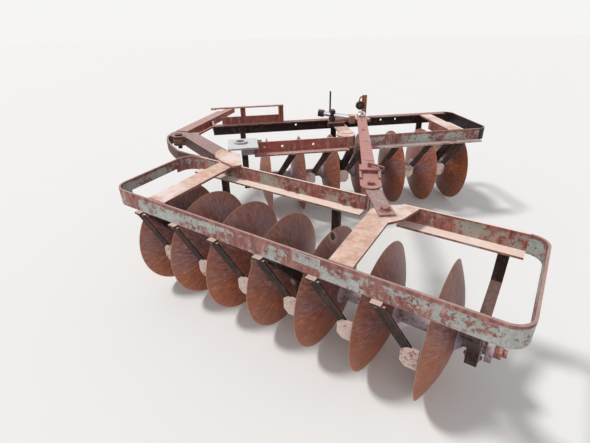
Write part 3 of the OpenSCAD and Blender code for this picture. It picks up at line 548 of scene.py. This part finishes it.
# Weld beads: start and end of each
beadRadius = 4
weldBeads = {
    "front": [((2051, -316, 679), (2151, -316, 679)), ((2051, 207, 679), (2151, 207, 679)),
              ((1317, -240, 680), (1222, -240, 680)), ((385, -327, 698), (469, -327, 698))],
    "rear": [((790, -871, 679), (906, -871, 679)), ((1828, -871, 679), (1925, -871, 679)),
             ((586, -182, 682), (640, -246, 682)), ((740, -295, 682), (864, -326, 682)),
             ((481, -772, 619), (481, -772, 679)), ((432, -399, 619), (432, -399, 679))],
}
for gang in gangs:
    bolts, beads = bmesh.new(), bmesh.new()
    for xs, y, z, axis, size in frameBolts[gang]:
        for x in xs:
            addHexBolt(bolts, (x, y, z), axis, size)
    for start, end in weldBeads[gang]:
        addBead(beads, start, end, beadRadius)
    space = gangs[gang]["frameSpace"]
    addPiece(gang + "FrameBolts", bolts, space, "boltRust", gang + "_frame")
    addPiece(gang + "WeldBeads", beads, space, "boltRust", gang + "_frame")


# Hitch end: dark boss on the upright lug, a hook behind it, wire turned round the strap's pivot bolt
strapPivot = (1490, 122)
hitchLook = dict(boss=(1512, 234, 780), bossRadius=35.5, bossWide=32, chamfer=4, bossBolt=16,
                 hook=(1521, 250, 815), hookWide=16, hookHigh=30, hookDegrees=225, hookTube=6,
                 wireFoot=719, wireRadius=27, wireTurns=3.6, wireTube=3.5)


def buildHitchTrim(look):
    boss, hook, wire = bmesh.new(), bmesh.new(), bmesh.new()
    radius, edge, flat = look["bossRadius"], look["chamfer"], look["bossWide"] - 2 * look["chamfer"]
    addCone(boss, look["boss"], (0, 1, 0), 0, 32, radius - 1.5, radius, edge)
    addCone(boss, look["boss"], (0, 1, 0), edge, 32, radius, radius, flat)
    addCone(boss, look["boss"], (0, 1, 0), edge + flat, 32, radius, radius - 2.5, edge)
    addHexBolt(boss, look["boss"], (0, -1, 0), look["bossBolt"])
    bend = []
    for i in range(17):
        angle = math.radians(look["hookDegrees"]) * i / 16
        rise = look["hookHigh"] * math.sin(angle) + 12 * angle / math.pi
        bend.append(Vector(look["hook"]) + Vector((-look["hookWide"] * math.cos(angle), 0, rise)))
    addTube(hook, bend, [look["hookTube"]] * len(bend))
    coil = []
    for i in range(int(20 * look["wireTurns"]) + 1):
        angle = i * math.tau / 20
        radius = look["wireRadius"] + 3 * math.sin(angle * 0.7)  # hand-wound, so never quite round
        across = radius * math.sin(angle)
        rise = look["wireFoot"] + 0.15 * i + 0.4 * (across + 30)
        coil.append(Vector((strapPivot[0] + radius * math.cos(angle), strapPivot[1] + across, rise)))
    looseEnd = [coil[-1] + Vector((-5 * i, -9 * i, -3.2 * i)) for i in (1, 2, 3)]
    addTube(wire, coil + looseEnd, [look["wireTube"]] * len(coil + looseEnd), 6)
    space = gangs["front"]["frameSpace"]
    # the boss is painted near black as the shade on its side
    addPiece("lugBoss", boss, space, "darkRust", "front_frame")
    addPiece("lugHook", hook, space, "boltRust", "front_frame")
    addPiece("pivotWireTurns", wire, space, "dullChrome", "front_frame")


# Strap: short marks across it where stops were ground off, as distance from the pivot and half length
strapLook = dict(end=(1127, -1280), top=714.6, thick=0.9, halfWide=4,
                 marks=((455, 17), (734, 15), (1119, 22)))


def buildStrapMarks(look):
    pivot, end = Vector((*strapPivot, look["top"])), Vector((*look["end"], look["top"]))
    along = (end - pivot).normalized()
    across = Vector((-along.y, along.x, 0))
    marks = bmesh.new()
    for distance, half in look["marks"]:
        corners = outline((-look["halfWide"], look["halfWide"]), (-half, half), (0, 0))
        low = [pivot + along * (distance + dx) + across * dy for dx, dy, dz in corners]
        addPlate(marks, low, [corner + Vector((0, 0, look["thick"])) for corner in low])
    addPiece("strapMarks", marks, gangs["front"]["frameSpace"], "darkRust", "angle_strap")


# Back beam: a bare pale plate, fixed a little askew on the web
barePlateLook = dict(y=-883, thick=1.5, corners=((1676, 632), (1798, 630), (1800, 674), (1678, 675)))


def buildBarePlate(look):
    plate = bmesh.new()
    faces = [[(x, y, z) for x, z in look["corners"]] for y in (look["y"], look["y"] - look["thick"])]
    addPlate(plate, *faces)
    addPiece("barePlate", plate, gangs["rear"]["frameSpace"], "limedPlate", "rear_frame")


buildHitchTrim(hitchLook)
buildStrapMarks(strapLook)
buildBarePlate(barePlateLook)
print("small steel pieces made")


# Floor, backdrop and lamps: matt studio floor, a soft high lamp and a weak wide one near the camera
stageLook = dict(floor="#e2e0dd", floorSize=60, floorRoughness=0.9, backdrop="#f6f5f4",
                 skyColour="#f2f4f8", skyStrength=0.48,
                 lamps={"softSun": dict(strength=2.3, softDegrees=11, comesFrom=(-0.55, -0.06, 0.83)),
                        "softFill": dict(strength=0.75, softDegrees=40, comesFrom=(0.2, -0.85, 0.5))})


def makeStage(look):
    bpy.ops.mesh.primitive_plane_add(size=look["floorSize"], location=(0, 0, 0))
    floor = bpy.context.object
    floor.name = "studioFloor"
    material = bpy.data.materials.new("paleFloor")
    material.use_nodes = True
    fillTree(material.node_tree, [
        ("matt", "BsdfPrincipled", {"Base Color": look["floor"], "Roughness": look["floorRoughness"]}, {}),
        ("output", "OutputMaterial", {}, {"Surface": "matt"}),
    ])
    floor.data.materials.append(material)
    world = bpy.data.worlds.new("studioWorld")
    bpy.context.scene.world = world
    world.use_nodes = True
    fillTree(world.node_tree, [
        ("light", "Background", {"Color": look["skyColour"], "Strength": look["skyStrength"]}, {}),
        ("seen", "Background", {"Color": look["backdrop"], "Strength": 1}, {}),
        ("path", "LightPath", {}, {}),
        ("mirrored", "Math", {"operation": "MAXIMUM"},
         {0: "path.Is Glossy Ray", 1: "path.Is Transmission Ray"}),
        ("direct", "Math", {"operation": "MAXIMUM"}, {0: "path.Is Camera Ray", 1: "mirrored"}),
        ("both", "MixShader", {}, {0: "direct", 1: "light", 2: "seen"}),
        ("output", "OutputWorld", {}, {"Surface": "both"}),
    ])
    for name, lampLook in look["lamps"].items():
        lamp = bpy.data.lights.new(name, "SUN")
        lamp.energy, lamp.angle = lampLook["strength"], math.radians(lampLook["softDegrees"])
        lampObject = bpy.data.objects.new(name, lamp)
        bpy.context.scene.collection.objects.link(lampObject)
        lampObject.rotation_euler = Vector(lampLook["comesFrom"]).to_track_quat("Z", "Y").to_euler()


makeStage(stageLook)

# Camera at the photograph's viewing angle: place from the hinge pin, in metres
cameraLook = dict(fromPin=(1.546, -2.631, 1.461), heading=(-0.2364, 0.9717), pitchDegrees=28.09,
                  rollDegrees=-1.464, lensMm=23.32, sensorMm=36)


def makeCamera(look):
    camera = bpy.data.objects.new("photoCamera", bpy.data.cameras.new("photoCamera"))
    bpy.context.scene.collection.objects.link(camera)
    bpy.context.scene.camera = camera
    camera.data.lens, camera.data.sensor_width = look["lensMm"], look["sensorMm"]
    pitch, roll = math.radians(look["pitchDegrees"]), math.radians(look["rollDegrees"])
    ahead = Vector((*look["heading"], 0)).normalized()
    forward = ahead * math.cos(pitch) + Vector((0, 0, -math.sin(pitch)))
    right = ahead.cross(Vector((0, 0, 1)))
    up = right.cross(forward)
    rolledRight = right * math.cos(roll) + up * math.sin(roll)
    rolledUp = up * math.cos(roll) - right * math.sin(roll)
    turn = Matrix((rolledRight, rolledUp, -forward)).transposed()
    camera.matrix_world = Matrix.Translation(hingePin + Vector(look["fromPin"])) @ turn.to_4x4()


makeCamera(cameraLook)
bpy.context.scene.view_settings.view_transform = "Standard"
print("stage and camera set")
